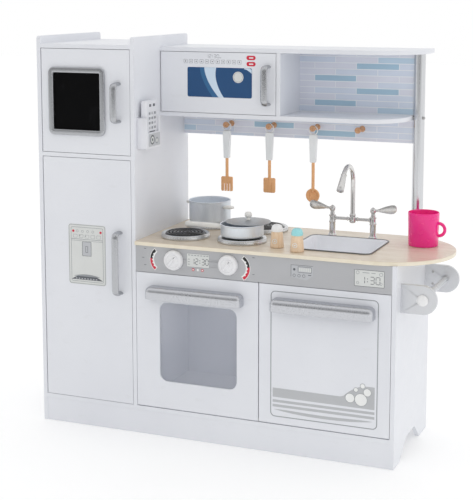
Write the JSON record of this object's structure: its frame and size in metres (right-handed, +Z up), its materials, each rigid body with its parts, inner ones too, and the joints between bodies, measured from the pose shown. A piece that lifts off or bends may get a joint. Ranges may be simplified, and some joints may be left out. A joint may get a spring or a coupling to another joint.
{
  "type": "toy kitchen",
  "caption": "Play kitchen: fridge tower, oven, dishwasher, microwave, hob, sink and shelves, with opening doors, turning knobs and faucet, and lift-off cookware",
  "frame": {"origin": "on the floor, under the middle of the whole object's footprint", "axes": "+X to the kitchen's right as a child faces it, +Y to its back, +Z up"},
  "size_m": [1.083, 0.362, 1.042],
  "materials": {
    "painted_board": "white satin paint on board",
    "worktop_laminate": "pale wood-look laminate",
    "fascia_paint": "light grey satin paint on board",
    "tile_print": "pale blue tile print on board",
    "post_metal": "satin tube",
    "ring_plastic": "silver plastic",
    "coil_plastic": "black plastic",
    "basin_plastic": "pale silver-white plastic",
    "faucet_nickel": "brushed nickel look",
    "handle_silver": "satin silver plating",
    "chalkboard": "black writing surface",
    "frame_silver": "silver plastic moulding",
    "clear_window": "clear acrylic",
    "knob_plastic": "pale plastic",
    "towel_plate": "satin grey",
    "towel_rod": "white",
    "phone_plastic": "white plastic",
    "peg_wood": "clear-lacquered hardwood",
    "utensil_wood": "clear-lacquered hardwood",
    "pot_metal": "satin",
    "grip_plastic": "ivory plastic",
    "shaker_wood": "pale beech",
    "mug_plastic": "hot pink",
    "fixing_steel": "zinc plated"
  },
  "bodies": {
    "root": {"fridge_left_panel": "painted_board", "fridge_right_panel": "painted_board", "fridge_top_board": "painted_board", "fridge_middle_shelf": "painted_board", "fridge_back_board": "painted_board", "bottom_board": "painted_board", "plinth": "painted_board", "base_right_panel": "painted_board", "base_divider": "painted_board", "base_back_board": "painted_board", "lower_shelf": "painted_board", "top_shelf": "painted_board", "microwave_side_panel": "painted_board", "control_panel": "fascia_paint", "countertop": "worktop_laminate", "backsplash": "tile_print", "support_post": "post_metal", "burner_ring_1": "ring_plastic", "burner_ring_2": "ring_plastic", "burner_ring_3": "ring_plastic", "burner_ring_4": "ring_plastic", "burner_coils": "coil_plastic", "sink_basin": "basin_plastic", "faucet_base": "faucet_nickel", "towel_plate_front": "towel_plate", "towel_plate_rear": "towel_plate", "phone_cradle": "phone_plastic", "utensil_pegs": "peg_wood", "metal_fixings": "fixing_steel"},
    "freezer_door": {"freezer_door": "painted_board", "freezer_board_frame": "frame_silver", "freezer_chalkboard": "chalkboard", "freezer_handle": "handle_silver"},
    "fridge_door": {"fridge_door": "painted_board", "fridge_handle": "handle_silver"},
    "microwave_door": {"microwave_door": "painted_board", "microwave_handle": "handle_silver"},
    "oven_door": {"oven_door": "painted_board", "oven_window": "clear_window", "oven_handle": "handle_silver"},
    "dishwasher_door": {"dishwasher_door": "painted_board", "dishwasher_handle": "handle_silver"},
    "knob_left": {"knob_left": "knob_plastic"},
    "knob_right": {"knob_right": "knob_plastic"},
    "faucet_spout": {"faucet_spout": "faucet_nickel"},
    "faucet_lever_left": {"faucet_lever_left": "faucet_nickel"},
    "faucet_lever_right": {"faucet_lever_right": "faucet_nickel"},
    "towel_rod": {"towel_rod": "towel_rod"},
    "phone_handset": {"phone_handset": "phone_plastic"},
    "stock_pot": {"stock_pot": "pot_metal", "stock_pot_grips": "grip_plastic"},
    "sauce_pan": {"sauce_pan": "pot_metal", "sauce_pan_grip": "grip_plastic"},
    "pan_lid": {"pan_lid": "pot_metal"},
    "shaker_white": {"shaker_white": "shaker_wood"},
    "shaker_blue": {"shaker_blue": "shaker_wood"},
    "mug": {"mug": "mug_plastic"},
    "utensil_turner": {"utensil_turner": "utensil_wood"},
    "utensil_spatula": {"utensil_spatula": "utensil_wood"},
    "utensil_ladle": {"utensil_ladle": "utensil_wood"}
  },
  "joints": [
    {"name": "freezer_door_hinge", "type": "hinge", "parent": "root", "child": "freezer_door", "pos_m": [-0.523, -0.1455, 0.874], "axis": [0, 0, -1], "range_deg": [0, 100]},
    {"name": "fridge_door_hinge", "type": "hinge", "parent": "root", "child": "fridge_door", "pos_m": [-0.523, -0.1455, 0.4], "axis": [0, 0, -1], "range_deg": [0, 100]},
    {"name": "microwave_door_hinge", "type": "hinge", "parent": "root", "child": "microwave_door", "pos_m": [-0.25, 0.0095, 0.92], "axis": [0, 0, -1], "range_deg": [0, 60]},
    {"name": "oven_door_hinge", "type": "hinge", "parent": "root", "child": "oven_door", "pos_m": [-0.086, -0.1455, 0.0825], "axis": [1, 0, 0], "range_deg": [0, 90]},
    {"name": "dishwasher_door_hinge", "type": "hinge", "parent": "root", "child": "dishwasher_door", "pos_m": [0.256, -0.1455, 0.0825], "axis": [1, 0, 0], "range_deg": [0, 90]},
    {"name": "knob_left_turn", "type": "hinge", "parent": "root", "child": "knob_left", "pos_m": [-0.1475, -0.151, 0.475], "axis": [0, 1, 0], "continuous": true},
    {"name": "knob_right_turn", "type": "hinge", "parent": "root", "child": "knob_right", "pos_m": [0.0035, -0.151, 0.475], "axis": [0, 1, 0], "continuous": true},
    {"name": "faucet_spout_swivel", "type": "hinge", "parent": "root", "child": "faucet_spout", "pos_m": [0.248, 0.111, 0.574], "axis": [0, 0, 1], "range_deg": [-60, 60]},
    {"name": "faucet_lever_left_turn", "type": "hinge", "parent": "root", "child": "faucet_lever_left", "pos_m": [0.1925, 0.111, 0.582], "axis": [0, 0, 1], "range_deg": [0, 60]},
    {"name": "faucet_lever_right_turn", "type": "hinge", "parent": "root", "child": "faucet_lever_right", "pos_m": [0.3035, 0.111, 0.582], "axis": [0, 0, -1], "range_deg": [0, 60]},
    {"name": "towel_rod_turn", "type": "hinge", "parent": "root", "child": "towel_rod", "pos_m": [0.492, 0, 0.42], "axis": [0, 1, 0], "continuous": true},
    {"name": "phone_handset_lift", "type": "slide", "parent": "root", "child": "phone_handset", "axis": [0, 0, 1], "range_m": [0, 0.08]},
    {"name": "stock_pot_lift", "type": "slide", "parent": "root", "child": "stock_pot", "axis": [0, -0.96, 0.28], "range_m": [0, 0.06]},
    {"name": "sauce_pan_lift", "type": "slide", "parent": "root", "child": "sauce_pan", "axis": [0, 0, 1], "range_m": [0, 0.08]},
    {"name": "pan_lid_lift", "type": "slide", "parent": "sauce_pan", "child": "pan_lid", "axis": [0, 0, 1], "range_m": [0, 0.08]},
    {"name": "shaker_white_lift", "type": "slide", "parent": "root", "child": "shaker_white", "axis": [0, 0, 1], "range_m": [0, 0.1]},
    {"name": "shaker_blue_lift", "type": "slide", "parent": "root", "child": "shaker_blue", "axis": [0, 0, 1], "range_m": [0, 0.1]},
    {"name": "mug_lift", "type": "slide", "parent": "root", "child": "mug", "axis": [0, 0, 1], "range_m": [0, 0.1]},
    {"name": "utensil_turner_swing", "type": "hinge", "parent": "root", "child": "utensil_turner", "pos_m": [-0.1145, 0.123, 0.7985], "axis": [0, 1, 0], "range_deg": [-10, 10]},
    {"name": "utensil_spatula_swing", "type": "hinge", "parent": "root", "child": "utensil_spatula", "pos_m": [0.0095, 0.123, 0.7985], "axis": [0, 1, 0], "range_deg": [-10, 10]},
    {"name": "utensil_ladle_swing", "type": "hinge", "parent": "root", "child": "utensil_ladle", "pos_m": [0.1335, 0.123, 0.7985], "axis": [0, 1, 0], "range_deg": [-4, 10]}
  ]
}
